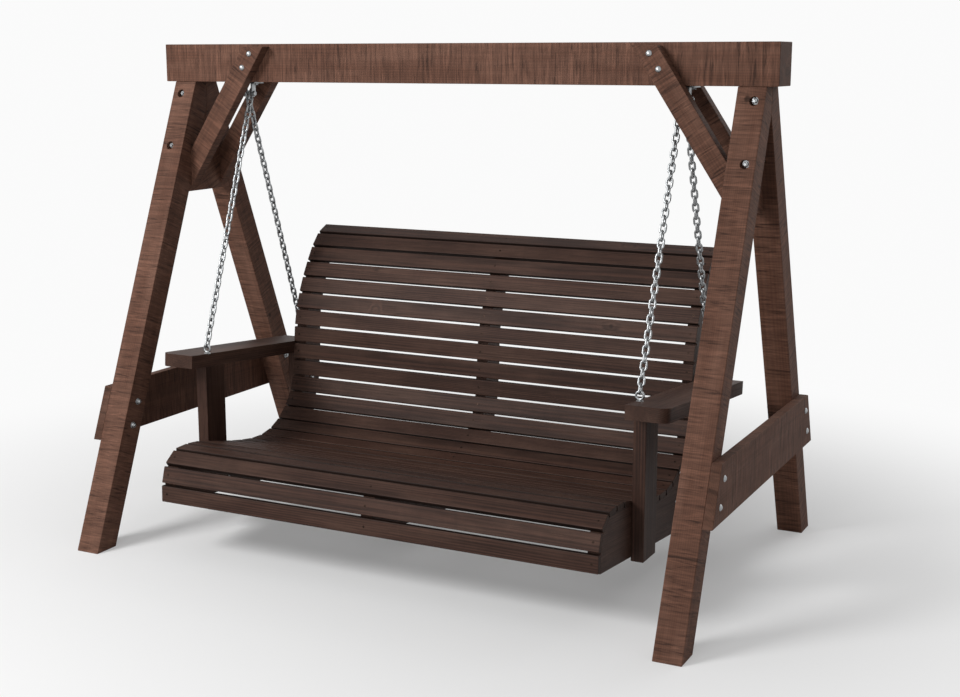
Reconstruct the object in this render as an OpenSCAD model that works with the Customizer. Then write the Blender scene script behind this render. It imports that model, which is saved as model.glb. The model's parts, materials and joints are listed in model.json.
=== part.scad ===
// Free-standing porch swing seat.
// A contoured slatted bench hangs on four chains from the beam of a timber A-frame stand.
// Millimetres. +Z is up, X runs along the beam, +Y points to the back of the bench.
// The origin is on the ground, midway between the four feet.

/* [Stand] */
// Side of the square legs
leg_side = 95; // [85:1:115]
// Clear width between the inner faces of the left and right legs
stand_clear = 2144; // [2120:2:2400]
// Distance from the middle of the stand to the toe of each leg
foot_reach = 750; // [680:5:850]
// Height of the underside of the beam
beam_low = 1692; // [1640:2:1800]
// Height of the beam's section
beam_h = 140; // [120:1:170]
// Width of the beam's section, front to back
beam_w = 140; // [125:1:160]
// How far the beam runs past the outer face of the legs
beam_over = 40; // [36:1:80]
// Lip of the beam past the flat tops of the legs
beam_lip = 4; // [2:0.5:8]

/* [Ties and braces] */
// Height of the cross tie boards
tie_h = 190; // [150:1:220]
// Thickness of the cross tie boards
tie_t = 33; // [26:1:36]
// Height of the lower edge of the cross ties above ground
tie_low = 383; // [300:1:450]
// Width of the knee braces
brace_w = 75; // [60:1:85]
// Thickness of the knee braces
brace_t = 45; // [38:1:48]
// Angle of the knee braces above level, in degrees
brace_rise = 56.5; // [52:0.5:60]
// Depth below the beam at which a knee brace meets the leg
brace_drop = 396; // [380:1:440]
// Distance that the braces stop short of the top of the beam
brace_top_gap = 10; // [4:1:20]
// Thickness of the spreader that fills the fork of the legs
spreader_t = 45; // [36:1:50]

/* [Bench] */
// Length of the slats, which is the length of the seat
bench_l = 1702; // [1500:2:1720]
// Width of a slat
slat_w = 60; // [57:0.5:62]
// Thickness of a slat
slat_t = 20; // [17:0.5:22]
// Gap between neighbouring slats, at half their thickness
slat_gap = 8.2; // [7.6:0.2:9]
// Radius of the eased edges of the slats
slat_ease = 3.5; // [2:0.5:6]
// Thickness of the shaped rails under the slats
rail_t = 45; // [36:1:50]
// Distance of the bench's front edge in front of the hanging line
bench_reach = 632; // [620:1:645]
// Height of the bench's front edge above ground
front_z = 198; // [170:1:230]
// Fall of the seat rails' lower edge towards the back, in degrees
seat_fall = 5.8; // [4:0.2:8]
// Width of the back rails from the seat to the arms
back_rail_w = 108; // [96:1:116]
// Width of the back rails at their top ends
back_rail_tip = 58; // [50:1:66]
// Height of the squared tail of the seat rails
tail_h = 150; // [120:1:170]

/* [Arms] */
// Thickness of the arm posts
post_t = 45; // [40:1:52]
// Width of the arm posts, front to back
post_w = 115; // [105:1:120]
// Set-back of the front posts from the bench's front edge
post_set = 274; // [255:1:285]
// How far the posts reach below the seat rails
post_drop = 13; // [6:1:20]
// Thickness of the arms
arm_t = 48; // [40:1:52]
// Width of the arms
arm_w = 144; // [125:1:150]
// Overhang of an arm in front of its front post
arm_front = 78; // [60:1:90]
// Overhang of an arm behind its rear post
arm_back = 12; // [8:1:25]
// Height of the arms' front ends above the bench's front edge
arm_rise = 505; // [490:1:515]
// Fall of the arms towards the back, in degrees
arm_fall = 5; // [3:0.5:6]
// Radius of the arms' front outer corner
arm_round = 38; // [20:1:50]

/* [Chains and fittings] */
// Diameter of the chain wire
chain_wire = 7.5; // [6:0.1:7.8]
// Wanted distance from one link to the next
chain_pitch = 26; // [25:0.5:30]
// Inner width of a link
link_gap = 11.5; // [11.2:0.1:12.5]
// Diameter of the hanger pins
pin_d = 10; // [8:0.5:10.4]
// Height of the beam's underside above the hanger pins
pin_drop = 44; // [38:1:48]
// Space between the front and rear chain on a hanger pin, centre to centre
chain_apart = 18; // [18:0.5:20]
// How far the chains hang inside the middle of the arm posts
chain_inset = 3; // [2:0.5:4]
// Thickness of the hanger plates
plate_t = 6; // [4:0.5:7]
// Diameter of the wire of the arm eyes
eye_wire = 8; // [7:0.5:9]
// Radius of the arm eyes to the middle of the wire
eye_r = 13; // [12.5:0.5:15]
// Distance of the eye bolts from the outer faces of the posts, front or rear
eye_set = 27; // [22:1:35]
// Depth of the eye bolt shanks in the posts
eye_hold = 80; // [60:1:100]
// Diameter of the stand's bolts
bolt_d = 10; // [8:1:12]
// Diameter of the bench's coach screws
coach_d = 8; // [6:1:9]
// Diameter of the slat screws
screw_d = 4.5; // [4:0.5:5.5]
// Depth of the slat screws in the rails
screw_hold = 30; // [22:1:32]

/* [Hidden] */
$fn = 32;
clear = 0.3; // gap round every bolt, screw and link
SLATS = 26;
FRONT_SLATS = 3;
SEAT_SLATS = 11;

// Lean of the slats above level, set at a few slats and even between them
seat_curve = [
    [0, 88], [1, 73], [2, 36], [3, 2], [5, -13], [7, -13], [9, -8], [10, -1],
    [11, 11], [16, 84], [18, 84], [20, 70], [22, 59], [23, 56], [24, 46], [25, 24]
];
LAP_FOOT = 11;  // slat edge at which the back rails start
LAP_HEAD = 14;  // slat edge at which the seat rails end
ARM_EDGE = 18;  // slat edge level with the arms

function slat_name(i) =
    i < FRONT_SLATS ? str("front_slat_", i + 1)
    : i < FRONT_SLATS + SEAT_SLATS ? str("seat_slat_", i - FRONT_SLATS + 1)
    : str("back_slat_", i - FRONT_SLATS - SEAT_SLATS + 1);

stained_pine = "#5a3a2c";
stained_bench = "#3f2a22";
zinc = "#b9bcbd";
dark_screw = "#4a3a30";

// ---------- stand ----------
leg_in = stand_clear / 2;
leg_out = leg_in + leg_side;
leg_mid = leg_in + leg_side / 2;
leg_lean = atan((foot_reach - beam_w / 2 + beam_lip) / beam_low);
leg_run = leg_side / cos(leg_lean);
fork_z = (foot_reach - leg_run) / tan(leg_lean);
beam_top = beam_low + beam_h;

// Distance of a leg's outer edge, middle and inner edge from the middle plane at a height
function leg_edge(z) = foot_reach - z * tan(leg_lean);
function leg_centre(z) = leg_edge(z) - leg_run / 2;
function fork_half(z) = leg_edge(z) - leg_run;

tie_bolt_z = [tie_low + 0.28 * tie_h, tie_low + 0.72 * tie_h];
rod_below_fork = 150;
rod_below_beam = 45;
rod_z = [fork_z - rod_below_fork, beam_low - rod_below_beam];
rod_gap = 9; // wood between a rod and the spreader
rod_x = leg_in + spreader_t + bolt_d / 2 + rod_gap;
rod_sink = 20;
rod_pocket_d = 30;
beam_screw_in = 28; // from the inner faces of the legs
beam_screw_x = leg_in + beam_screw_in;
beam_screw_y = 30;
beam_screw_d = 12;
beam_screw_hold = 90;
beam_screw_sink = 12;
beam_screw_pocket_d = 32;

spreader_tail = 20; // reach of the spreaders below the feet of the knee braces
brace_foot = beam_low - brace_drop;
brace_height = brace_w / cos(brace_rise);
brace_bolt_z = [beam_low + 0.38 * beam_h, beam_low + 0.74 * beam_h];
function brace_x(z) = leg_in - (z - brace_foot) / tan(brace_rise);
function brace_mid_x(z) = brace_x(z - brace_height / 2);

// ---------- bench side curve ----------
front_y = -bench_reach;
pitch = slat_w + slat_gap;
function lean(i) = lookup(max(0, min(SLATS - 1, i)), seat_curve);
function along(a) = [cos(a), sin(a)];
function below(a) = [sin(a), -cos(a)];

// Points at half the slats' thickness, in the middle of the gaps between the slats
knots = [for (i = 0, p = [front_y, front_z];
              i <= SLATS;
              p = p + pitch * along(lean(i)), i = i + 1) p];
function bend(i) = (lean(i - 1) + lean(i)) / 2;
function edge(i) =
    knots[i] + below(bend(i)) * (slat_t / 2) / cos((lean(i) - lean(i - 1)) / 2);
function back_w(i) = lookup(i, [[ARM_EDGE, back_rail_w], [SLATS, back_rail_tip]]);
function rear(i) = edge(i) + below(bend(i)) * back_w(i);
function rail_mid(i) = (edge(i) + rear(i)) / 2;
function slat_mid(i) = (knots[i] + knots[i + 1]) / 2;
function seat_low(y) = front_z - (y - front_y) * tan(seat_fall);

end_x = bench_l / 2;
rail_x = end_x - rail_t / 2;
front_post_y = front_y + post_set;
rear_post_y = edge(ARM_EDGE)[0];
tail_set = 8; // the seat rails stop this far in front of the rear posts' backs
tail_y = rear_post_y + post_w - tail_set;
arm_y = front_post_y - arm_front;
arm_top = front_z + arm_rise;
arm_l = (rear_post_y + post_w + arm_back - arm_y) / cos(arm_fall);
function arm_over(y) = arm_top - (y - arm_y) * tan(arm_fall);
function arm_under(y) = arm_over(y) - arm_t / cos(arm_fall);

// ---------- hanging gear ----------
post_x = end_x + post_t / 2;
hang_x = post_x - chain_inset;
front_chain_x = hang_x - chain_apart / 2;
rear_chain_x = hang_x + chain_apart / 2;
pin_z = beam_low - pin_drop;
front_eye_y = front_post_y + eye_set;
rear_eye_y = rear_post_y + post_w - eye_set;
eye_sink = 1.5;
eye_foot = 3;
function eye_seat(y) = arm_over(y) - eye_sink;
function eye_top(y) = eye_seat(y) + eye_foot + eye_wire / 2 + 2 * eye_r;
lug_play = 5; // spare width for the two chains between the lugs
lug_gap = chain_apart + chain_wire + lug_play;

// ---------- coach screws of the bench, with their places as [y, z] ----------
coach_low = 40;    // from the seat rail's lower edge to the first screw of a post
coach_high = 110;  // from the seat rail's lower edge to the second screw of a post
coach_inset = 36;  // from the edge of a rear post to its screws
coach_cover = 7;   // wood left over the points of the screws
front_post_screws = [for (h = [coach_low, coach_high])
    [front_post_y + post_w / 2, seat_low(front_post_y) + h]];
rear_post_screws = [[rear_post_y + post_w - coach_inset, seat_low(tail_y) + coach_low],
                    [rear_post_y + coach_inset, seat_low(tail_y) + coach_high],
                    [rear_post_y + coach_inset, rail_mid(ARM_EDGE - 2)[1]]];
lap_screws = [for (i = [LAP_FOOT : LAP_HEAD - 1]) (rail_mid(i) + rail_mid(i + 1)) / 2];

// ---------- shared shapes ----------
// A side outline, drawn as [y, z], given a thickness along X about the middle
module across(thickness) {
    rotate([90, 0, 90]) linear_extrude(height = thickness, center = true) children();
}

// The right-hand piece as drawn, or its mirror image on the left
module on_side(side) {
    mirror([side < 0 ? 1 : 0, 0, 0]) children();
}

// A hole along X or Y or Z through [x, y, z], longer than anything that it crosses
module hole_x(at, d, length) {
    translate(at) rotate([0, 90, 0]) cylinder(d = d, h = length, center = true);
}
module hole_y(at, d, length) {
    translate(at) rotate([90, 0, 0]) cylinder(d = d, h = length, center = true);
}
module hole_z(at, d, length) {
    translate(at) cylinder(d = d, h = length, center = true);
}

// A bolt along +Z from under its head, with a domed head, a washer and a hexagon nut
module dome_bolt(d, grip) {
    difference() {
        translate([0, 0, 0.55 * d]) sphere(r = 1.25 * d);
        translate([0, 0, 2.5 * d]) cube(5 * d, center = true);
    }
    cylinder(d = d, h = grip + 1.4 * d);
    nut_and_washer(d, grip);
}

// A washer and hexagon nut that close on a face at height z
module nut_and_washer(d, z) {
    translate([0, 0, z]) cylinder(r = 1.2 * d, h = 0.2 * d);
    translate([0, 0, z + 0.2 * d]) cylinder(r = 0.95 * d, h = 0.8 * d, $fn = 6);
}

// A coach screw along -Z from under its head
module coach_screw(d, length) {
    cylinder(r = 1.15 * d, h = 0.22 * d);
    translate([0, 0, 0.22 * d]) cylinder(r = 0.9 * d, h = 0.65 * d, $fn = 6);
    translate([0, 0, -length]) cylinder(d = d, h = length);
}

// ---------- stand pieces ----------
module top_beam() {
    color(stained_pine) difference() {
        translate([-leg_out - beam_over, -beam_w / 2, beam_low])
            cube([2 * (leg_out + beam_over), beam_w, beam_h]);
        for (side = [-1, 1]) {
            for (z = brace_bolt_z)
                hole_y([side * brace_mid_x(z), 0, z], bolt_d + 2 * clear, beam_w + 2);
            for (y = [-beam_screw_y, beam_screw_y]) {
                hole_z([side * beam_screw_x, y, beam_low + beam_h / 2],
                       beam_screw_d + 2 * clear, beam_h + 2);
                translate([side * beam_screw_x, y, beam_top - beam_screw_sink])
                    cylinder(d = beam_screw_pocket_d, h = beam_screw_sink + 1);
            }
            for (dx = [-1, 1])
                translate([side * (hang_x + dx * hanger_screw_x), 0, beam_low - 1])
                    cylinder(d = hanger_screw_d + 2 * clear, h = hanger_screw_hold + 1 + clear);
        }
    }
}

// The front right leg; the others are its mirror images
module leg_piece() {
    color(stained_pine) difference() {
        translate([leg_mid, 0, 0]) across(leg_side) polygon([
            [-foot_reach, 0], [-foot_reach + leg_run, 0], [0, fork_z],
            [0, beam_low], [-leg_edge(beam_low), beam_low]
        ]);
        for (z = tie_bolt_z)
            hole_x([leg_mid, -leg_centre(z), z], bolt_d + 2 * clear, leg_side + 2);
        for (z = rod_z) {
            hole_y([rod_x, -leg_edge(z) / 2, z], bolt_d + 2 * clear, leg_edge(z) + 2);
            translate([rod_x, rod_sink - leg_edge(z), z])
                rotate([90, 0, 0]) cylinder(d = rod_pocket_d, h = 3 * rod_sink);
        }
        translate([beam_screw_x, -beam_screw_y, beam_low - beam_screw_hold - clear])
            cylinder(d = beam_screw_d + 2 * clear, h = beam_screw_hold + 3 * clear);
    }
}

module leg(side, end) {
    mirror([0, end > 0 ? 1 : 0, 0]) on_side(side) leg_piece();
}

module cross_tie(side) {
    low = leg_edge(tie_low);
    high = leg_edge(tie_low + tie_h);
    color(stained_pine) on_side(side) difference() {
        translate([leg_out + tie_t / 2, 0, 0]) across(tie_t) polygon([
            [-low, tie_low], [low, tie_low], [high, tie_low + tie_h], [-high, tie_low + tie_h]
        ]);
        for (z = tie_bolt_z, y = [-leg_centre(z), leg_centre(z)])
            hole_x([leg_out, y, z], bolt_d + 2 * clear, 3 * tie_t);
    }
}

module spreader(side) {
    low = brace_foot - spreader_tail;
    color(stained_pine) on_side(side)
        translate([leg_in + spreader_t / 2, 0, 0]) across(spreader_t)
            polygon([[-fork_half(low), low], [fork_half(low), low], [0, fork_z]]);
}

module knee_brace(side, end) {
    top = beam_top - brace_top_gap;
    color(stained_pine) on_side(side) difference() {
        translate([0, end * (beam_w + brace_t) / 2, 0]) rotate([90, 0, 0])
            linear_extrude(height = brace_t, center = true) polygon([
                [leg_in, brace_foot], [leg_in, brace_foot + brace_height],
                [brace_x(top - brace_height), top], [brace_x(top), top]
            ]);
        for (z = brace_bolt_z)
            hole_y([brace_mid_x(z), end * (beam_w + brace_t) / 2, z],
                   bolt_d + 2 * clear, brace_t + 2);
    }
}

hanger_l = 92;
hanger_w = 60;
lug_free = 1; // room under the lugs for the second links of the chains
lug_r = chain_pitch - chain_wire - pin_d / 2 - lug_free;
hanger_screw_x = 34;
hanger_screw_d = 8;
hanger_screw_stop = 6; // wood left between a hanger's screws and the bolts above them
hanger_screw_hold = brace_bolt_z[0] - beam_low - bolt_d / 2 - hanger_screw_stop;

// A plate under the beam, with two lugs for the pin that the chains hang on
module hanger_brackets() {
    color(zinc) for (side = [-1, 1]) on_side(side) translate([hang_x, 0, 0]) difference() {
        union() {
            translate([-hanger_l / 2, -hanger_w / 2, beam_low - plate_t])
                cube([hanger_l, hanger_w, plate_t]);
            for (end = [-1, 1])
                translate([end * (lug_gap + plate_t) / 2, 0, 0]) across(plate_t) {
                    translate([0, pin_z]) circle(lug_r);
                    translate([-lug_r, pin_z]) square([2 * lug_r, pin_drop - plate_t / 2]);
                }
        }
        hole_x([0, 0, pin_z], pin_d + 2 * clear, lug_gap + 3 * plate_t);
        for (dx = [-1, 1])
            hole_z([dx * hanger_screw_x, 0, beam_low], hanger_screw_d + 2 * clear, 3 * plate_t);
    }
}

// The pin is a plain bolt along X, with its head towards the middle of the beam
module hanger_pin() {
    half = lug_gap / 2 + plate_t;
    translate([-half, 0, pin_z]) rotate([0, 90, 0]) {
        translate([0, 0, -0.65 * pin_d]) cylinder(r = 0.95 * pin_d, h = 0.65 * pin_d, $fn = 6);
        cylinder(d = pin_d, h = 2 * half + 1.4 * pin_d);
        nut_and_washer(pin_d, 2 * half);
    }
}

// The bolts, rods and screws of the stand, and the pins in the hanger brackets
module stand_fixings() {
    color(zinc) for (side = [-1, 1]) on_side(side) {
        translate([hang_x, 0, 0]) {
            hanger_pin();
            for (dx = [-1, 1])
                translate([dx * hanger_screw_x, 0, beam_low - plate_t]) mirror([0, 0, 1])
                    coach_screw(hanger_screw_d, hanger_screw_hold + plate_t);
        }
        for (z = tie_bolt_z, y = [-leg_centre(z), leg_centre(z)])
            translate([leg_out + tie_t, y, z]) rotate([0, -90, 0])
                dome_bolt(bolt_d, tie_t + leg_side);
        for (z = rod_z) {
            seat = leg_edge(z) - rod_sink;
            translate([rod_x, -seat, z]) rotate([-90, 0, 0]) {
                translate([0, 0, -1.4 * bolt_d]) cylinder(d = bolt_d, h = 2 * seat + 2.8 * bolt_d);
                nut_and_washer(bolt_d, 2 * seat);
                mirror([0, 0, 1]) nut_and_washer(bolt_d, 0);
            }
        }
        for (z = brace_bolt_z)
            translate([brace_mid_x(z), -beam_w / 2 - brace_t, z]) rotate([-90, 0, 0])
                dome_bolt(bolt_d, beam_w + 2 * brace_t);
        for (y = [-beam_screw_y, beam_screw_y])
            translate([beam_screw_x, y, beam_top - beam_screw_sink])
                coach_screw(beam_screw_d, beam_h - beam_screw_sink + beam_screw_hold);
    }
}

// ---------- bench pieces ----------
module seat_outline() {
    polygon(concat(
        [for (i = [0 : LAP_HEAD]) edge(i)],
        [rear(LAP_HEAD), [tail_y, seat_low(tail_y) + tail_h], [tail_y, seat_low(tail_y)]]
    ));
}

module back_outline() {
    polygon(concat(
        [for (i = [LAP_FOOT : SLATS]) edge(i)],
        [for (i = [SLATS : -1 : LAP_FOOT]) rear(i)]
    ));
}

// Every screw that a rail at x carries; those of the posts only pass through the end rails
module rail_holes(x, end_rail) {
    for (p = lap_screws)
        hole_x([x - coach_cover, p[0], p[1]], coach_d + 2 * clear, rail_t + 2 * clear);
    if (end_rail)
        for (p = concat(front_post_screws, rear_post_screws))
            hole_x([x, p[0], p[1]], coach_d + 2 * clear, rail_t + 2);
    for (i = [0 : SLATS - 1]) at_slat(i, x)
        translate([0, 0, -screw_hold - clear])
            cylinder(d = screw_d + 2 * clear, h = screw_hold + slat_t);
}

// Moves a piece to x on the underside of slat i, with +Z out of the slat's face
module at_slat(i, x) {
    translate([x, slat_mid(i)[0], slat_mid(i)[1]]) rotate([lean(i), 0, 0])
        translate([0, 0, -slat_t / 2]) children();
}

// Seat and back rails meet in a half lap: each keeps one half of the thickness there
module seat_rail(x, end_rail = true) {
    color(stained_bench) difference() {
        translate([x, 0, 0]) {
            across(rail_t) difference() { seat_outline(); back_outline(); }
            translate([rail_t / 4, 0, 0])
                across(rail_t / 2) intersection() { seat_outline(); back_outline(); }
        }
        rail_holes(x, end_rail);
    }
}

module back_rail(x, end_rail = true) {
    color(stained_bench) difference() {
        translate([x, 0, 0]) {
            across(rail_t) difference() { back_outline(); seat_outline(); }
            translate([-rail_t / 4, 0, 0])
                across(rail_t / 2) intersection() { seat_outline(); back_outline(); }
        }
        rail_holes(x, end_rail);
    }
}

// A slat's section with its four edges eased
module slat_section() {
    r = slat_ease;
    translate([-slat_w / 2, r]) square([slat_w, slat_t - 2 * r]);
    translate([r - slat_w / 2, 0]) square([slat_w - 2 * r, slat_t]);
    for (u = [r - slat_w / 2, slat_w / 2 - r], v = [r, slat_t - r])
        translate([u, v]) circle(r);
}

module slat(i) {
    color(stained_bench) difference() {
        at_slat(i, 0) across(bench_l) slat_section();
        for (x = [-rail_x, 0, rail_x]) at_slat(i, x) {
            translate([0, 0, -1]) cylinder(d = screw_d + 2 * clear, h = slat_t + 2);
            translate([0, 0, slat_t - screw_d / 2 - clear])
                cylinder(r1 = screw_d / 2 + clear, r2 = screw_d + clear + 0.01,
                         h = screw_d / 2 + clear + 0.01);
        }
    }
}

module slat_screws() {
    color(dark_screw) for (i = [0 : SLATS - 1], x = [-rail_x, 0, rail_x]) at_slat(i, x) {
        translate([0, 0, -screw_hold]) cylinder(d = screw_d, h = screw_hold + slat_t - clear);
        translate([0, 0, slat_t - screw_d / 2 - clear])
            cylinder(r1 = screw_d / 2, r2 = screw_d, h = screw_d / 2);
    }
}

module post(side, y, screws, eye_y, eye_x) {
    low = seat_low(y) - post_drop;
    color(stained_bench) on_side(side) difference() {
        translate([post_x, 0, 0]) across(post_t) polygon([
            [y, low], [y + post_w, low], [y + post_w, arm_under(y + post_w)], [y, arm_under(y)]
        ]);
        for (p = screws)
            hole_x([post_x - coach_cover, p[0], p[1]], coach_d + 2 * clear, post_t + 2 * clear);
        eye_hole(eye_x, eye_y);
    }
}

module front_post(side) {
    post(side, front_post_y, front_post_screws, front_eye_y, front_chain_x);
}

module rear_post(side) {
    post(side, rear_post_y, rear_post_screws, rear_eye_y, rear_chain_x);
}

// The hole for an eye bolt's shank, and the level seat for its foot
module eye_hole(x, y) {
    translate([x, y, arm_under(y) - eye_hold - clear])
        cylinder(d = eye_wire + 2 * clear, h = eye_hold + 2 * arm_t);
    translate([x, y, eye_seat(y)]) cylinder(r = eye_r, h = arm_t);
}

module arm_plan() {
    r = arm_round;
    square([arm_w - r, arm_l]);
    translate([0, r]) square([arm_w, arm_l - r]);
    translate([arm_w - r, r]) circle(r);
}

module arm(side) {
    color(stained_bench) on_side(side) difference() {
        translate([end_x, arm_y, arm_top]) rotate([-arm_fall, 0, 0])
            translate([0, 0, -arm_t]) linear_extrude(height = arm_t) arm_plan();
        eye_hole(front_chain_x, front_eye_y);
        eye_hole(rear_chain_x, rear_eye_y);
    }
}

// A forged ring that faces forward, on a round foot and a plain shank
module eye_bolt(x, y) {
    translate([x, y, eye_seat(y)]) {
        cylinder(r = eye_r - clear, h = eye_foot);
        translate([0, 0, eye_foot + eye_wire / 2 + eye_r]) rotate([90, 0, 0])
            rotate_extrude() translate([eye_r, 0]) circle(d = eye_wire);
        translate([0, 0, arm_under(y) - eye_seat(y) - eye_hold])
            cylinder(d = eye_wire, h = eye_seat(y) - arm_under(y) + eye_hold + eye_foot + eye_wire / 2);
    }
}

module arm_eye_bolts() {
    color(zinc) for (side = [-1, 1]) on_side(side) {
        eye_bolt(front_chain_x, front_eye_y);
        eye_bolt(rear_chain_x, rear_eye_y);
    }
}

// Coach screws along +X at the places given, driven into a rail at x from its inner face
module driven_in(x, places, length) {
    for (p = places)
        translate([x - rail_t / 2, p[0], p[1]]) rotate([0, -90, 0])
            coach_screw(coach_d, length - coach_cover);
}

// They hold the posts and the half laps, and none shows on the outside of the bench
module bench_coach_screws() {
    color(zinc) {
        for (side = [-1, 1]) on_side(side) {
            driven_in(rail_x, concat(front_post_screws, rear_post_screws), rail_t + post_t);
            driven_in(rail_x, lap_screws, rail_t);
        }
        driven_in(0, lap_screws, rail_t);
    }
}

// ---------- chains ----------
// One welded link of the given inner length, standing along Z and flat in the YZ plane.
// Its straights are cut to a fiftieth of a millimetre, so that their halves are exact.
module link(inner) {
    r = (link_gap + chain_wire) / 2;
    straight = 0.02 * floor((inner + chain_wire - 2 * r) / 0.02);
    for (end = [-1, 1]) {
        translate([0, end * r, 0]) cylinder(d = chain_wire, h = straight, center = true);
        translate([0, 0, end * straight / 2]) rotate([0, end > 0 ? -90 : 90, 0])
            rotate([0, 0, -90]) rotate_extrude(angle = 180)
                translate([r, 0]) circle(d = chain_wire);
    }
}

// A taut chain from the hanger pin to the eye at [y, z], with every second link turned
module chain(side, x, y) {
    drop = pin_z - eye_top(y);
    run = norm([y, drop]);
    hooked = run + pin_d / 2 + eye_wire / 2 + clear;
    links = 2 * round((hooked / chain_pitch - 1) / 2) + 1;
    step = hooked / links;
    inner = step + clear;
    first = inner / 2 - pin_d / 2 - clear;
    color(zinc) on_side(side) translate([x, 0, pin_z]) rotate([atan2(y, drop), 0, 0])
        for (k = [0 : links - 1])
            translate([0, 0, -first - k * step]) rotate([0, 0, 90 * (k % 2)]) link(inner);
}

module chain_front(side) {
    chain(side, front_chain_x, front_eye_y);
}

module chain_rear(side) {
    chain(side, rear_chain_x, rear_eye_y);
}

// ---------- the assembly ----------
top_beam();
leg(-1, -1);  // leg_front_left
leg(1, -1);  // leg_front_right
leg(-1, 1);  // leg_rear_left
leg(1, 1);  // leg_rear_right
cross_tie(-1);  // cross_tie_left
cross_tie(1);  // cross_tie_right
spreader(-1);  // spreader_left
spreader(1);  // spreader_right
knee_brace(-1, -1);  // knee_brace_front_left
knee_brace(1, -1);  // knee_brace_front_right
knee_brace(-1, 1);  // knee_brace_rear_left
knee_brace(1, 1);  // knee_brace_rear_right
hanger_brackets();
stand_fixings();
on_side(-1) seat_rail(rail_x);  // seat_rail_left
seat_rail(0, end_rail = false);  // seat_rail_centre
seat_rail(rail_x);  // seat_rail_right
on_side(-1) back_rail(rail_x);  // back_rail_left
back_rail(0, end_rail = false);  // back_rail_centre
back_rail(rail_x);  // back_rail_right
front_post(-1);  // front_post_left
front_post(1);  // front_post_right
rear_post(-1);  // rear_post_left
rear_post(1);  // rear_post_right
arm(-1);  // arm_left
arm(1);  // arm_right
chain_front(-1);  // chain_front_left
chain_front(1);  // chain_front_right
chain_rear(-1);  // chain_rear_left
chain_rear(1);  // chain_rear_right
arm_eye_bolts();
bench_coach_screws();
slat_screws();
for (i = [0 : SLATS - 1])
    slat(i);
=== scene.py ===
# %% [markdown]
# # A porch swing seat
#
# A porch swing seat is a slatted bench that hangs on four chains under the beam of a
# timber stand. Its finished solids come in as a fixed frame, and this script gives
# them their looks: sawn and planed softwood with a dark stain, galvanised chain and
# fixings. Every length is in metres, in the frame that the solids use.

# %% Load the solids
import json
import math

import bmesh
import bpy
from mathutils import Matrix, Vector


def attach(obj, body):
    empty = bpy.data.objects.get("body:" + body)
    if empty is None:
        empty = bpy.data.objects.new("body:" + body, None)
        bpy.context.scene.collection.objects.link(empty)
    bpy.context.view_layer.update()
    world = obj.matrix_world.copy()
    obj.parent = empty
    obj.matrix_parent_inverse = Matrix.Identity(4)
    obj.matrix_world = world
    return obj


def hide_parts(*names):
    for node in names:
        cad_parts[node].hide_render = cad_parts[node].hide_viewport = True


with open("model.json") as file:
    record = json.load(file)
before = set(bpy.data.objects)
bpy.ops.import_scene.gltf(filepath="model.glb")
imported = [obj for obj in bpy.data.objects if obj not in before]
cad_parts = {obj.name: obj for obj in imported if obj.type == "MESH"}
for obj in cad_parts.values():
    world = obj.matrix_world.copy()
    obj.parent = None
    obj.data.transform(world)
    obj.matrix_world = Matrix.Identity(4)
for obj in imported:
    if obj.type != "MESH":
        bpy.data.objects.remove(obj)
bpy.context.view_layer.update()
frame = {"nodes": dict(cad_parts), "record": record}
nodes = frame["nodes"]
body_of_node = {
    node: body
    for body, members in frame["record"]["behaviour"]["bodies"].items()
    for node in members
}
slot_of_node = {s["node"]: s["material_slot"] for s in frame["record"]["subparts"]}

# %% [markdown]
# ## Camera
#
# The camera stands to the right of the middle, as high as the beam, and looks slightly
# down. A fairly long lens from five metres keeps the uprights almost parallel, as in a
# catalogue picture.

# %% Camera
LENS_MM = 54.64
CAMERA_PLACE = (2.460, -4.658, 1.782)
LOOK_DOWN = math.radians(11.29)
LOOK_LEFT = math.radians(26.7)

scene = bpy.context.scene
camera_data = bpy.data.cameras.new("camera")
camera = bpy.data.objects.new("camera", camera_data)
scene.collection.objects.link(camera)
camera_data.sensor_fit = "HORIZONTAL"
camera_data.sensor_width = 36.0
camera_data.lens = LENS_MM
camera.location = CAMERA_PLACE
camera.rotation_euler = (math.pi / 2 - LOOK_DOWN, 0, LOOK_LEFT)
scene.camera = camera
print("camera:", CAMERA_PLACE, "lens:", round(LENS_MM), "mm")

# %% [markdown]
# ## Helpers
#
# Colours are easiest to pick as sRGB hex codes, but shaders calculate in linear light,
# so one function turns them. Shaders are trees of nodes. They could be built by hand,
# one node and one link at a time. A small helper that adds a node, sets it up and links
# it in a single line keeps each material readable.

# %% Colours are written as sRGB hex and turned to linear once
def linear(hex_colour):
    parts = [int(hex_colour[i : i + 2], 16) / 255 for i in (1, 3, 5)]
    return tuple(
        [p / 12.92 if p <= 0.04045 else ((p + 0.055) / 1.055) ** 2.4 for p in parts]
    ) + (1.0,)


print("linear value of #808080:", round(linear("#808080")[0], 3))


# %% A grey of one value
def grey(value):
    return (value, value, value, 1.0)


print("black and white:", grey(0.0), grey(1.0))


# %% One helper adds a node with its settings, its values and links, and a ramp's greys
def add(tree, kind, inputs=None, stops=(), **settings):
    node = tree.nodes.new(kind)
    for name, value in settings.items():
        setattr(node, name, value)
    for key, value in (inputs or {}).items():
        if isinstance(value, bpy.types.NodeSocket):
            tree.links.new(value, node.inputs[key])
        else:
            node.inputs[key].default_value = value
    if stops:
        elements = node.color_ramp.elements
        while len(elements) < len(stops):
            elements.new(0.5)
        for element, (place, value) in zip(elements, stops):
            element.position = place
            element.color = grey(value)
    return node


# %% [markdown]
# ## Floor and sky
#
# A studio has a pale sweep of paper that runs up behind the object. It could be built
# as a curved sheet, but then its shade would change with the view. Here the floor is
# flat. Near the object it is a plain dull surface that takes the shadow, and further
# out it fades into the colour of the sky. The sky lights the object weakly, and only
# the camera, glossy metal and clear pieces see it bright, so a colour shows about as
# it is written.

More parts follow.
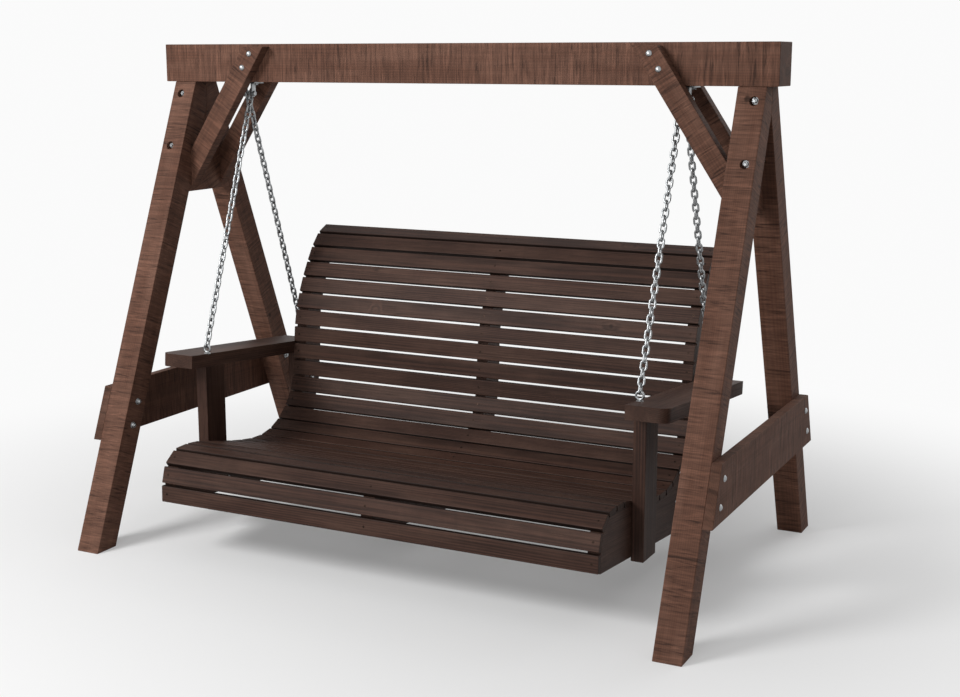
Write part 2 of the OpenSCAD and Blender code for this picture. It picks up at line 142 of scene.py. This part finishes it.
# %% Floor sheet
FLOOR_HALF = 30  # so wide that its edge is never seen

floor_mesh = bpy.data.meshes.new("floor")
bm = bmesh.new()
bmesh.ops.create_grid(bm, x_segments=1, y_segments=1, size=FLOOR_HALF)
bm.to_mesh(floor_mesh)
bm.free()
floor = bpy.data.objects.new("floor", floor_mesh)
scene.collection.objects.link(floor)
print("floor:", tuple(round(d) for d in floor.dimensions), "m")


# %% Rays that see the pale background, not the weaker light that it gives
SEEING_RAYS = ("Is Camera Ray", "Is Glossy Ray", "Is Transmission Ray")


def seen_rays(tree):
    path = add(tree, "ShaderNodeLightPath")
    seen = path.outputs[SEEING_RAYS[0]]
    for ray in SEEING_RAYS[1:]:
        both = {0: seen, 1: path.outputs[ray]}
        seen = add(tree, "ShaderNodeMath", both, operation="MAXIMUM").outputs[0]
    return seen


print("rays that see the background:", SEEING_RAYS)


# %% A material starts with its tree and its main shader
def new_material(name):
    material = bpy.data.materials.new(name)
    material.use_nodes = True
    tree = material.node_tree
    return material, tree, tree.nodes["Principled BSDF"]


plain_floor, tree, shader = new_material("pale_painted_floor")
print("floor material:", plain_floor.name, "starts with", [node.name for node in tree.nodes])

# %% Painted floor: a dull pale paint that shows the shadow, not the lamps
PALE = 0.96  # the background, as it is seen
SHADOW_R, FADED_R = 0.7, 3.2  # the floor starts to fade at the first radius
FLOOR_GLOW = 0.18  # share of the background within the first radius

shader.inputs["Base Color"].default_value = linear("#E6E6E6")
shader.inputs["Roughness"].default_value = 0.9
shader.inputs["Specular IOR Level"].default_value = 0.2
place = add(tree, "ShaderNodeTexCoord").outputs["Object"]
away = add(tree, "ShaderNodeVectorMath", {0: place}, operation="LENGTH").outputs["Value"]
fade = add(
    tree, "ShaderNodeMapRange", {0: away, 1: SHADOW_R, 2: FADED_R, 3: FLOOR_GLOW, 4: 1.0},
    interpolation_type="SMOOTHSTEP",
).outputs[0]
shown = add(tree, "ShaderNodeMath", {0: fade, 1: seen_rays(tree)}, operation="MULTIPLY").outputs[0]
pale = add(tree, "ShaderNodeEmission", {"Color": grey(PALE), "Strength": 1.0}).outputs[0]
surface = add(tree, "ShaderNodeMixShader", {0: shown, 1: shader.outputs[0], 2: pale}).outputs[0]
tree.links.new(surface, tree.nodes["Material Output"].inputs["Surface"])
floor_mesh.materials.append(plain_floor)
print("floor material:", plain_floor.name, "has", len(tree.nodes), "nodes")

# %% Sky
SKY_LIGHT = 0.32  # the strength of the sky as a light

world = bpy.data.worlds.new("pale_sky")
scene.world = world
world.use_nodes = True
tree = world.node_tree
tree.nodes.clear()
as_light = add(tree, "ShaderNodeBackground", {"Color": grey(1.0), "Strength": SKY_LIGHT}).outputs[0]
as_seen = add(tree, "ShaderNodeBackground", {"Color": grey(PALE), "Strength": 1.0}).outputs[0]
sky = add(tree, "ShaderNodeMixShader", {0: seen_rays(tree), 1: as_light, 2: as_seen}).outputs[0]
add(tree, "ShaderNodeOutputWorld", {"Surface": sky})
print("sky:", PALE, "as seen,", SKY_LIGHT, "as light")

# %% [markdown]
# ## Lamps
#
# A sun would draw hard shadows of every slat. Large round lamps give the soft shadow
# of a studio instead: a strong one high on the left that models the boards, a weak one
# in front for the faces in shade, and one behind that parts the rear legs from the sky.

# %% Lamps
def lamp(name, place, aim_height, size, watts):
    data = bpy.data.lights.new(name, "AREA")
    data.shape = "DISK"
    data.size = size
    data.energy = watts
    obj = bpy.data.objects.new(name, data)
    scene.collection.objects.link(obj)
    obj.location = place
    aim = Vector((0, 0, aim_height)) - Vector(place)
    obj.rotation_euler = aim.to_track_quat("-Z", "Y").to_euler()
    print("lamp:", name, watts, "W from", round(aim.length, 1), "m")


lamp("key", (-3.0, -4.6, 4.2), aim_height=0.6, size=2.4, watts=320)
lamp("front_fill", (0.2, -6.2, 1.8), aim_height=0.6, size=3.0, watts=85)
lamp("rear_fill", (2.5, 4.5, 3.5), aim_height=0.8, size=3.0, watts=40)

scene.view_settings.view_transform = "Standard"

# %% [markdown]
# ## Timber
#
# Real boards differ from each other and their grain follows their length. So each
# board gets its own coordinates, kept as an attribute: along the grain, across it and
# through the thickness, shifted to another part of the log for every board. One
# material can then serve all the boards of one kind. The next cells try their steps on
# a slat of the seat, or on the beam where bolts pass through, and print what they did.

# %% A solid comes as loose triangles: merge them into the flat faces of the real piece
MERGE = 2e-6  # points nearer to each other than this are one
FLAT = math.radians(0.5)  # faces that turn less than this are one


def joined(node):
    bm = bmesh.new()
    bm.from_mesh(nodes[node].data)
    bmesh.ops.remove_doubles(bm, verts=bm.verts, dist=MERGE)
    return bm


def merged(node):
    bm = joined(node)
    bmesh.ops.dissolve_limit(bm, angle_limit=FLAT, verts=bm.verts, edges=bm.edges)
    return bm


slat = merged("seat_slat_1")
print("a slat:", len(nodes["seat_slat_1"].data.polygons), "triangles,", len(slat.faces), "faces")


# %% Directions of a board: the longest edge is the grain, the largest face the wide side
ALONG_GRAIN = 0.3  # a face whose normal leans this little to the grain runs along it


def board_directions(bm, curved):
    longest = max(bm.edges, key=lambda e: e.calc_length())
    grain = (longest.verts[1].co - longest.verts[0].co).normalized()
    if curved:  # sawn from a straight plank that runs from its lowest to its highest point
        low = min(bm.verts, key=lambda v: v.co.z).co
        high = max(bm.verts, key=lambda v: v.co.z).co
        grain = Vector((0, high.y - low.y, high.z - low.z)).normalized()
    sides = [f for f in bm.faces if abs(f.normal.dot(grain)) < ALONG_GRAIN]
    largest = max(sides, key=lambda f: f.calc_area())
    through = (largest.normal - grain * largest.normal.dot(grain)).normalized()
    return grain, through.cross(grain).normalized(), through


directions = board_directions(slat, curved=False)
print("grain, across and through:", [tuple(round(c, 2) for c in way) for way in directions])

# %% [markdown]
# Sawn timber has a sharp edge only for a day. Planing, sanding and hands ease it to a
# radius of one to three millimetres. A bevel on every sharp edge gives that, and its
# thin highlight shows where one board ends. The walls of bolt holes are left out,
# because a drill leaves them sharp and their many short edges would tear the bevel.

# %% Walls of bolt holes: narrow facets that meet in a hollow
FACET_WIDTH = 0.006
HOLLOW = (math.radians(-50), math.radians(-2))  # turns between facets of a round hole


def hole_walls(bm):
    walls = set()
    for edge in bm.edges:
        if len(edge.link_faces) == 2 and HOLLOW[0] < edge.calc_face_angle_signed(0) < HOLLOW[1]:
            for face in edge.link_faces:
                if face.calc_area() / edge.calc_length() < FACET_WIDTH:
                    walls.add(face)
    return walls


beam = merged("top_beam")
print("facets in the bolt holes of the top beam:", len(hole_walls(beam)), "of", len(beam.faces))
beam.free()


# %% Bevel the edges that stand out, but not those of some faces, and return the new faces
def bevel_edges(bm, width, segments, sharper_than, spared=()):
    sharp = [
        e for e in bm.edges
        if len(e.link_faces) == 2 and e.calc_face_angle_signed(0) > math.radians(sharper_than)
        and not any(f in spared for f in e.link_faces)
    ]
    return bmesh.ops.bevel(
        bm, geom=sharp, offset=width, offset_type="OFFSET", segments=segments, profile=0.5,
        affect="EDGES", clamp_overlap=True, material=-1,
    )["faces"]


EASE_HEAVY = 0.0025
EASE_SLAT = 0.0012
BOARD_EDGE = 32  # degrees; the curve of a rail is cut in smaller turns

eased = bevel_edges(slat, EASE_SLAT, 2, BOARD_EDGE, spared=hole_walls(slat))
print("eased faces of the slat:", len(eased))


# %% Marks that the stain follows: worn edges and end grain; the sides of slats in a gap get painted shade
SLAT_WEAR = 0.25  # slats are rubbed less at their edges than the heavy pieces
FACES_END = 0.75  # a normal that leans this much to a direction faces it
FACES_GAP = 0.8


def mark_faces(bm, eased, grain, across, is_slat):
    # a new layer makes the list of faces useless, so their numbers are kept
    bm.faces.index_update()
    eased_numbers = {face.index for face in eased}
    worn = bm.faces.layers.float.new("worn_edge")
    end = bm.faces.layers.float.new("end_grain")
    side = bm.faces.layers.float.new("gap_side")
    wear = SLAT_WEAR if is_slat else 1.0
    for face in bm.faces:
        face[end] = 1.0 if abs(face.normal.dot(grain)) > FACES_END else 0.0
        # slat sides that face a gap are marked to be painted dark: painted shade in the gaps
        face[side] = 1.0 if is_slat and abs(face.normal.dot(across)) > FACES_GAP else 0.0
        face[worn] = wear if face.index in eased_numbers else 0.0
        face.smooth = True


mark_faces(slat, eased, directions[0], directions[1], is_slat=True)
for mark, layer in slat.faces.layers.float.items():
    print(mark, "on", sum(1 for face in slat.faces if face[layer] > 0), "of", len(slat.faces))


# %% Place of each point in the log that the board was sawn from, and the board's own tone
LOG_STEP = 1.7  # how much further along the log each board lies


def place_in_log(bm, directions, middle, number):
    place = bm.verts.layers.float_vector.new("in_board")
    tone = bm.verts.layers.float.new("board_tone")
    # the heart of the log is a few centimetres off, at another side of each board
    log = Vector((
        LOG_STEP * number,
        0.035 + 0.05 * math.sin(2.3 * number),
        0.06 + 0.045 * math.sin(4.1 * number),
    ))
    for vert in bm.verts:
        off = vert.co - middle
        vert[place] = Vector([off.dot(way) for way in directions]) + log
        vert[tone] = math.sin(12.9 * number + 1.3)


place_in_log(slat, directions, Vector(), number=1)
places = slat.verts.layers.float_vector["in_board"]
along_log = [vert[places].x for vert in slat.verts]
print("the slat lies in the log from", round(min(along_log), 2), "to", round(max(along_log), 2), "m")
slat.free()


# %% A dressed piece rides with its body and takes the place of its solid
def dress(node, kind, bm, material, smooth_to):
    mesh = bpy.data.meshes.new(node + kind)
    bm.to_mesh(mesh)
    bm.free()
    mesh.set_sharp_from_angle(angle=math.radians(smooth_to))
    mesh.materials.append(material)
    obj = bpy.data.objects.new(node + kind, mesh)
    scene.collection.objects.link(obj)
    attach(obj, body_of_node[node])
    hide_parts(node)
    return obj


print("slots:", sorted(set(slot_of_node.values())))


# %% [markdown]
# ## Stained softwood
#
# The stand is sawn softwood and the bench is planed. Both have a brown stain that
# soaks deeper into the soft early wood and the end grain than into the hard late
# wood. Scanned wood would look right from one side only. Patterns in the board's own
# coordinates run through it like real grain, so faces, edges and ends agree.
#
# A knot is the root of a branch, and the grain bends round it. Cells of the size of
# the distance between branches are laid through the log, a few of them are chosen,
# and round the middle of a chosen cell the coordinates of the grain are pulled in.

# %% Knots
KNOT_CELL_MM = 143
KNOT_RIM = (0.055, 0.095)  # of a cell: the dark wood of a knot fades out between the two
GRAIN_BEND = (0.05, 0.36)  # of a cell: the pull on the grain round it fades out between the two
KNOT_PULL = 0.6
KNOT_DARK = 0.8
CELLS_BARE = 0.76  # the share of cells without a knot


def knots(tree, in_board):
    per_metre = 1000 / KNOT_CELL_MM
    in_cells = add(
        tree, "ShaderNodeVectorMath", {0: in_board, "Scale": per_metre}, operation="SCALE"
    ).outputs[0]
    cells = add(tree, "ShaderNodeTexVoronoi", {"Vector": in_cells, "Scale": 1.0})
    from_middle = cells.outputs["Distance"]
    chosen = add(
        tree, "ShaderNodeMath", {0: cells.outputs["Color"], 1: CELLS_BARE}, operation="GREATER_THAN"
    ).outputs[0]
    near = add(
        tree, "ShaderNodeMapRange",
        {0: from_middle, 1: GRAIN_BEND[0], 2: GRAIN_BEND[1], 3: KNOT_PULL / per_metre, 4: 0.0},
        interpolation_type="SMOOTHSTEP",
    ).outputs[0]
    pull = add(tree, "ShaderNodeMath", {0: near, 1: chosen}, operation="MULTIPLY").outputs[0]
    off = add(
        tree, "ShaderNodeVectorMath", {0: in_cells, 1: cells.outputs["Position"]}, operation="SUBTRACT"
    ).outputs[0]
    shift = add(tree, "ShaderNodeVectorMath", {0: off, "Scale": pull}, operation="SCALE").outputs[0]
    bent = add(tree, "ShaderNodeVectorMath", {0: in_board, 1: shift}, operation="SUBTRACT").outputs[0]
    core = add(
        tree, "ShaderNodeMapRange",
        {0: from_middle, 1: KNOT_RIM[0], 2: KNOT_RIM[1], 3: KNOT_DARK, 4: 0.0},
    ).outputs[0]
    core = add(tree, "ShaderNodeMath", {0: core, 1: chosen}, operation="MULTIPLY").outputs[0]
    return bent, core


knot_mm = [round(2 * radius * KNOT_CELL_MM) for radius in KNOT_RIM]
print("knots:", knot_mm, "mm across, in", round(100 * (1 - CELLS_BARE)), "of 100 cells")

# %% [markdown]
# All other marks of the wood are noise, drawn out along the board or across it. Early
# and late wood are the growth rings of the tree. Fibres and dark streaks lie along the
# grain, and a few dry splits. The bandsaw leaves lines across the board, in bands
# where the blade shook. Weather and hands leave pale patches and rubbed edges.

# %% Patterns of a board: the size of each mark along the board and across it, in mm
RING_REPEAT = 314  # a wave of scale 1 repeats its rings every 314 mm
DRAWN_OUT = 20  # growth rings are so much longer than they are wide


def board_patterns(tree, in_board, grain, ring_mm, fibre_mm, saw_mm):
    marks = {
        "fibres": (grain, 165, fibre_mm, {"Detail": 5.0, "Roughness": 0.68, "Distortion": 0.3}),
        "streaks": (grain, 770, 11, {"Detail": 2.0, "Roughness": 0.5}),
        "splits": (grain, 2200, 26, {"Detail": 0.0}),
        "patches": (in_board, 400, 70, {"Detail": 3.0, "Roughness": 0.55}),
        "saw": (in_board, saw_mm, 140, {"Detail": 5.0, "Roughness": 0.7, "Distortion": 0.9}),
        "bands": (in_board, 4.5 * saw_mm, 200, {"Detail": 2.0, "Roughness": 0.5}),
        "rubbing": (in_board, 70, 17, {"Detail": 2.0}),
    }
    patterns = {}
    for name, (vector, along, across, values) in marks.items():
        scale = (1000 / along, 1000 / across, 1000 / across)
        at = add(tree, "ShaderNodeMapping", {"Vector": vector, "Scale": scale}).outputs[0]
        noise = add(tree, "ShaderNodeTexNoise", {"Vector": at, "Scale": 1.0, **values})
        patterns[name] = noise.outputs["Fac"]

    along_log = add(
        tree, "ShaderNodeMapping", {"Vector": grain, "Scale": (1 / DRAWN_OUT, 1, 1)}
    ).outputs[0]
    ring_values = {"Scale": RING_REPEAT / ring_mm, "Distortion": 5.0, "Detail": 2.0,
                   "Detail Scale": 0.5, "Detail Roughness": 0.5}
    patterns["rings"] = add(
        tree, "ShaderNodeTexWave", {"Vector": along_log, **ring_values},
        wave_type="RINGS", rings_direction="X",
    ).outputs["Fac"]
    print("patterns:", ", ".join(patterns))
    return patterns


# %% Shares and tones: from which value of a pattern to which, and what the two give
def board_shares(tree, patterns, fibre_depth, streak, rough):
    ranges = {
        "early_wood": ("rings", 0.15, 0.80, 0.0, 1.0),
        "dark_streaks": ("streaks", 0.36, 0.52, streak, 0.0),
        "faded": ("patches", 0.42, 0.72, 0.0, 0.6),
        "fibre_tone": ("fibres", 0.34, 0.62, 1.0 - fibre_depth, 1.0 + 0.25 * fibre_depth),
        "sawn": ("bands", 0.36, 0.56, 0.6, 1.0),
        "split": ("patches", 0.54, 0.60, 0.0, 1.0),
        "rubbed": ("rubbing", 0.42, 0.66, 0.06, 0.42),
        # the late wood stays smooth, the open fibres are dull
        "roughness": ("fibres", 0.0, 1.0, rough + 0.12, rough - 0.08),
    }
    return {
        name: add(
            tree, "ShaderNodeMapRange", {0: patterns[pattern], 1: low, 2: high, 3: at_low, 4: at_high}
        ).outputs[0]
        for name, (pattern, low, high, at_low, at_high) in ranges.items()
    }


# %% [markdown]
# The stain is laid on in layers, from the late wood up. Each layer has a share, which
# says where it shows, and a colour. Layers that darken, such as fibres, saw marks and
# splits, are multiplied, so the colours under them keep their hue.

# %% Layers of stain
KNOT_CORE = "#21140E"
SOAKED_END, END_SHARE = "#24170F", 0.3  # end grain drinks more stain
PAINTED_GAP_SHADE, GAP_SHADE_SHARE = "#120B08", 0.8  # painted shade in the gaps between slats, nearly black


def layered(tree, colour, layers):
    for share, top, blend in layers:
        colour = add(
            tree, "ShaderNodeMix", {0: share, 6: colour, 7: top}, data_type="RGBA", blend_type=blend
        ).outputs[2]
    return colour


def stain(tree, shares, tones, knot, early, late, pale, tone_step):
    marks = {
        mark: add(tree, "ShaderNodeAttribute", attribute_name=mark).outputs["Fac"]
        for mark in ("board_tone", "end_grain", "gap_side", "worn_edge")
    }
    wood = layered(tree, linear(late), [
        (shares["early_wood"], linear(early), "MIX"),
        (shares["dark_streaks"], linear(late), "MIX"),
        (shares["faded"], linear(pale), "MIX"),
        (1.0, shares["fibre_tone"], "MULTIPLY"),
        (shares["sawn"], tones["saw"], "MULTIPLY"),
        (shares["split"], tones["split"], "MULTIPLY"),
        (knot, linear(KNOT_CORE), "MIX"),
    ])
    # each board is a little lighter or darker than its neighbour
    value = add(
        tree, "ShaderNodeMath", {0: marks["board_tone"], 1: tone_step, 2: 1.0}, operation="MULTIPLY_ADD"
    ).outputs[0]
    wood = add(tree, "ShaderNodeHueSaturation", {"Color": wood, "Value": value}).outputs[0]
    soaked, shaded_gap, rubbed = [
        add(tree, "ShaderNodeMath", {0: marks[mark], 1: share}, operation="MULTIPLY").outputs[0]
        for mark, share in (
            ("end_grain", END_SHARE), ("gap_side", GAP_SHADE_SHARE), ("worn_edge", shares["rubbed"]),
        )
    ]
    # the sides of slats in a gap are painted nearly black: painted shade between the slats
    return layered(tree, wood, [
        (soaked, linear(SOAKED_END), "MIX"),
        (shaded_gap, linear(PAINTED_GAP_SHADE), "MIX"),
        (rubbed, linear(pale), "MIX"),
    ])


# %% Timber material
WOOD_IOR = 1.45
WOOD_SHEEN = 0.14  # a penetrating stain leaves no film, so the wood shines little


def stained_timber(name, early, late, pale, ring_mm, fibre_mm, fibre_depth, streak, saw_mm,
                   saw_depth, tone_step, rough):
    material, tree, shader = new_material(name)
    in_board = add(tree, "ShaderNodeAttribute", attribute_name="in_board").outputs["Vector"]
    grain, knot = knots(tree, in_board)
    patterns = board_patterns(tree, in_board, grain, ring_mm, fibre_mm, saw_mm)
    shares = board_shares(tree, patterns, fibre_depth, streak, rough)
    # a tooth leaves a dark groove with a pale ridge beside it
    saw_greys = (
        (0.37, 1.0 - saw_depth), (0.45, 1.0 - 0.2 * saw_depth),
        (0.52, 1.0), (0.61, 1.0 + 0.7 * saw_depth),
    )
    # a split is a thin line where the noise passes its middle
    split_greys = ((0.493, 1.0), (0.5, 1.0 - 0.87 * streak), (0.507, 1.0))
    tones = {
        "saw": add(tree, "ShaderNodeValToRGB", {"Fac": patterns["saw"]}, saw_greys).outputs[0],
        "split": add(tree, "ShaderNodeValToRGB", {"Fac": patterns["splits"]}, split_greys).outputs[0],
    }
    colour = stain(tree, shares, tones, knot, early, late, pale, tone_step)
    tree.links.new(colour, shader.inputs["Base Color"])
    tree.links.new(shares["roughness"], shader.inputs["Roughness"])
    shader.inputs["IOR"].default_value = WOOD_IOR
    shader.inputs["Specular IOR Level"].default_value = WOOD_SHEEN

    # relief: how deep the marks are in the wood, and how much of that shows
    relief = {}
    for height, depth_mm, strength in (
        (patterns["saw"], 1.6, saw_depth), (tones["split"], 0.8, 0.5), (patterns["fibres"], 0.5, 0.5)
    ):
        values = {"Height": height, "Distance": depth_mm / 1000, "Strength": strength}
        relief["Normal"] = add(tree, "ShaderNodeBump", {**values, **relief}).outputs[0]
    tree.links.new(relief["Normal"], shader.inputs["Normal"])
    print("timber:", name, "with", len(tree.nodes), "nodes")
    return material


# %% Sawn softwood, red-brown stain: dull, with the bandsaw's lines across the boards
sawn_softwood = stained_timber(
    "sawn_softwood_brown_stain", early="#55392D", late="#4E352A", pale="#6A4D40",
    ring_mm=7, fibre_mm=4, fibre_depth=0.06, streak=0.25, saw_mm=9, saw_depth=0.62,
    tone_step=0.06, rough=0.66,
)

# %% Planed softwood, walnut stain: smoother, with fine streaks along the boards
planed_softwood = stained_timber(
    "planed_softwood_walnut_stain", early="#422D25", late="#30201A", pale="#564036",
    ring_mm=6, fibre_mm=5, fibre_depth=0.32, streak=0.6, saw_mm=60, saw_depth=0.1,
    tone_step=0.13, rough=0.52,
)

# %% [markdown]
# Every board of the stand now becomes sawn softwood, and every board of the bench
# planed softwood. The slats are eased less than the heavy pieces. The back rails are
# sawn to a curve, so their grain follows the straight line between their two ends.

# %% A board: a merged copy of its solid with eased edges, marks and a place in the log
def board(node, material, ease, number, curved=False, is_slat=False):
    bm = merged(node)
    directions = board_directions(bm, curved)
    middle = sum((v.co for v in bm.verts), Vector()) / len(bm.verts)
    eased = bevel_edges(bm, ease, 2, BOARD_EDGE, spared=hole_walls(bm))
    mark_faces(bm, eased, directions[0], directions[1], is_slat)
    place_in_log(bm, directions, middle, number)
    obj = dress(node, "_board", bm, material, smooth_to=24)
    obj.modifiers.new("flat_faces", "WEIGHTED_NORMAL").keep_sharp = True


for number, node in enumerate(sorted(nodes), start=1):
    if slot_of_node[node] == "stand_timber":
        board(node, sawn_softwood, EASE_HEAVY, number)
    elif slot_of_node[node] == "bench_timber" and "_slat_" in node:
        board(node, planed_softwood, EASE_SLAT, number, is_slat=True)
    elif slot_of_node[node] == "bench_timber":
        board(node, planed_softwood, EASE_HEAVY, number, curved=node.startswith("back_rail"))

# %% [markdown]
# ## Galvanised steel
#
# Chain, brackets, bolts and eye bolts are steel dipped in zinc. The coat is a bright
# grey metal with a fine crystal pattern, duller where the zinc has begun to weather.
# A plain grey metal would look like new chrome. Cells of a few millimetres give the
# crystals, and slow noise changes both the shade and the gloss. The slat screws are
# the dark coated kind that is sold for stained timber.

# %% Metal materials
CLOUD_MM = 17  # size of the weathered clouds in the coat
CLOUD_RELIEF = {"Distance": 0.0003, "Strength": 0.4}


def coated_steel(name, bright, dull, crystal_mm, rough):
    material, tree, shader = new_material(name)
    place = add(tree, "ShaderNodeTexCoord").outputs["Object"]
    crystals = add(
        tree, "ShaderNodeTexVoronoi", {"Vector": place, "Scale": 1000 / crystal_mm}
    ).outputs["Color"]
    clouds = add(
        tree, "ShaderNodeTexNoise", {"Vector": place, "Scale": 1000 / CLOUD_MM, "Detail": 3.0}
    ).outputs["Fac"]
    # from which value of a pattern to which, and what the two give
    weather, flake, gloss = [
        add(tree, "ShaderNodeMapRange", {0: pattern, 1: low, 2: high, 3: at_low, 4: at_high}).outputs[0]
        for pattern, low, high, at_low, at_high in (
            (clouds, 0.35, 0.7, 0.0, 0.8),
            (crystals, 0.0, 1.0, 0.88, 1.0),
            (clouds, 0.0, 1.0, rough - 0.08, rough + 0.14),
        )
    ]
    coat = layered(tree, linear(bright), [(weather, linear(dull), "MIX"), (1.0, flake, "MULTIPLY")])
    tree.links.new(coat, shader.inputs["Base Color"])
    tree.links.new(gloss, shader.inputs["Roughness"])
    shader.inputs["Metallic"].default_value = 1.0
    bump = add(tree, "ShaderNodeBump", {"Height": clouds, **CLOUD_RELIEF}).outputs[0]
    tree.links.new(bump, shader.inputs["Normal"])
    print("metal:", name)
    return material


# hot-dip galvanised steel: a bright, slightly rough coat with zinc crystals
galvanised = coated_steel("hot_dip_galvanised_steel", "#ABADAE", "#828587", crystal_mm=6, rough=0.36)
# coated screw steel: dark brown and even, so the heads vanish in the stained wood
dark_screw = coated_steel("dark_coated_screw_steel", "#3A2E28", "#2A211D", crystal_mm=3, rough=0.45)

# %% [markdown]
# ## Chains
#
# The links of the frame are round enough to be seen as they are, so the chains keep
# their solids and only take the metal.

# %% Chains keep their solids and take the finish
chains = [node for node in sorted(nodes) if node.startswith("chain")]
for node in chains:
    nodes[node].data.materials.clear()
    nodes[node].data.materials.append(galvanised)
print("chains:", chains)

# %% [markdown]
# A link of welded chain is a bent wire whose two ends meet in the middle of one long
# side. The weld leaves a low bulge there. Each bulge is a small sphere, drawn out
# along the wire and sunk into it, with few faces because there are 160 of them.

# %% The links of a chain are the loose parts of its mesh, each a list of vertices
def loose_parts(bm):
    for vert in bm.verts:
        vert.tag = False
    for start in bm.verts:
        if start.tag:
            continue
        start.tag = True
        part = [start]
        for vert in part:  # the list grows while its neighbours are found
            for edge in vert.link_edges:
                other = edge.other_vert(vert)
                if not other.tag:
                    other.tag = True
                    part.append(other)
        yield part


chain = joined(chains[0])
links = list(loose_parts(chain))
print(chains[0], "has", len(links), "links, the first of", len(links[0]), "points")


# %% Where the weld of a link lies: the middle of its long side, turned along the wire
LINK_HALF = 0.0095  # from a link's middle line to the middle of its wire
ACROSS_STAND = Vector((1, 0, 0))


def weld_place(link):
    middle = sum((v.co for v in link), Vector()) / len(link)
    tip = max(link, key=lambda v: (v.co - middle).length)
    along = (tip.co - middle).normalized()
    width = max(v.co.x for v in link) - min(v.co.x for v in link)
    side = ACROSS_STAND if width > 2 * LINK_HALF else along.cross(ACROSS_STAND)
    side = (side - along * side.dot(along)).normalized()
    turn = Matrix((side, along.cross(side), along)).transposed().to_4x4()
    return Matrix.Translation(middle + side * LINK_HALF) @ turn


print("weld of its first link at", tuple(round(c, 3) for c in weld_place(links[0]).translation))
chain.free()


# %% Weld beads
BEAD_R = 0.0044  # the wire's own radius is 3.75 mm
BEAD_HALF = 0.0048
BEAD_SHAPE = Matrix.Diagonal((BEAD_R, BEAD_R, BEAD_HALF, 1.0))


def weld_beads(node):
    chain = joined(node)
    places = [weld_place(link) for link in loose_parts(chain)]
    chain.free()
    beads = bmesh.new()
    for place in places:
        bmesh.ops.create_uvsphere(
            beads, u_segments=10, v_segments=5, radius=1.0, matrix=place @ BEAD_SHAPE
        )
    bmesh.ops.recalc_face_normals(beads, faces=beads.faces)
    for face in beads.faces:
        face.smooth = True
    mesh = bpy.data.meshes.new(node + "_weld_beads")
    beads.to_mesh(mesh)
    beads.free()
    mesh.materials.append(galvanised)
    obj = bpy.data.objects.new(node + "_weld_beads", mesh)
    scene.collection.objects.link(obj)
    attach(obj, body_of_node[node])
    return len(places)


print("weld beads:", [weld_beads(node) for node in chains])

# %% [markdown]
# ## Bolts, brackets and screws
#
# Bolt heads, nuts, washers and bracket plates are stamped or cut, and the dip rounds
# their edges. A narrow chamfer on each edge is enough: from a step away it shows as a
# thin bright line. The slat screws are driven with a six-lobed bit, so each head has
# a socket, pressed into the flat face of the head by an inset and an extrusion.

# %% A six-lobed socket in the head of each slat screw
SOCKET_R = 0.0020
LOBE = 0.14  # how far the lobes swing out and in, as a share of the radius
SOCKET_DEEP = 0.0018
HEAD_AREA = 45e-6  # larger than any other flat face of a screw


def sockets(bm):
    heads = [f for f in bm.faces if len(f.verts) > 12 and f.calc_area() > HEAD_AREA]
    for head in heads:
        centre = head.calc_center_median()
        normal = head.normal.copy()
        side = normal.orthogonal().normalized()
        other = normal.cross(side)
        rim = (head.verts[0].co - centre).length - SOCKET_R
        bmesh.ops.inset_individual(bm, faces=[head], thickness=rim, use_even_offset=True)
        for vert in head.verts:
            off = vert.co - centre
            turn = math.atan2(off.dot(other), off.dot(side))
            vert.co = centre + off.normalized() * SOCKET_R * (1 + LOBE * math.cos(6 * turn))
        deep = bmesh.ops.extrude_face_region(bm, geom=[head])["geom"]
        floor_verts = [g for g in deep if isinstance(g, bmesh.types.BMVert)]
        bmesh.ops.translate(bm, vec=-normal * SOCKET_DEEP, verts=floor_verts)
        if head.is_valid:
            bmesh.ops.delete(bm, geom=[head], context="FACES_ONLY")
    return len(heads)


# %% A fixing is a merged copy of its solids with its sharp edges broken
STEEL_EDGE = 40  # degrees; the facets of round shanks and rings turn less


def fixing(node, material, chamfer):
    bm = merged(node)
    if node == "slat_screws":
        print("sockets:", sockets(bm))
    bevel_edges(bm, chamfer, 1, STEEL_EDGE)
    for face in bm.faces:
        face.smooth = True
    obj = dress(node, "_steel", bm, material, smooth_to=35)
    print("fixing:", node, "with", len(obj.data.polygons), "faces")


# %% Make all the fixings
fixing("hanger_brackets", galvanised, chamfer=0.0008)
fixing("stand_fixings", galvanised, chamfer=0.0006)
fixing("bench_coach_screws", galvanised, chamfer=0.0005)
fixing("arm_eye_bolts", galvanised, chamfer=0.0005)
fixing("slat_screws", dark_screw, chamfer=0.0002)
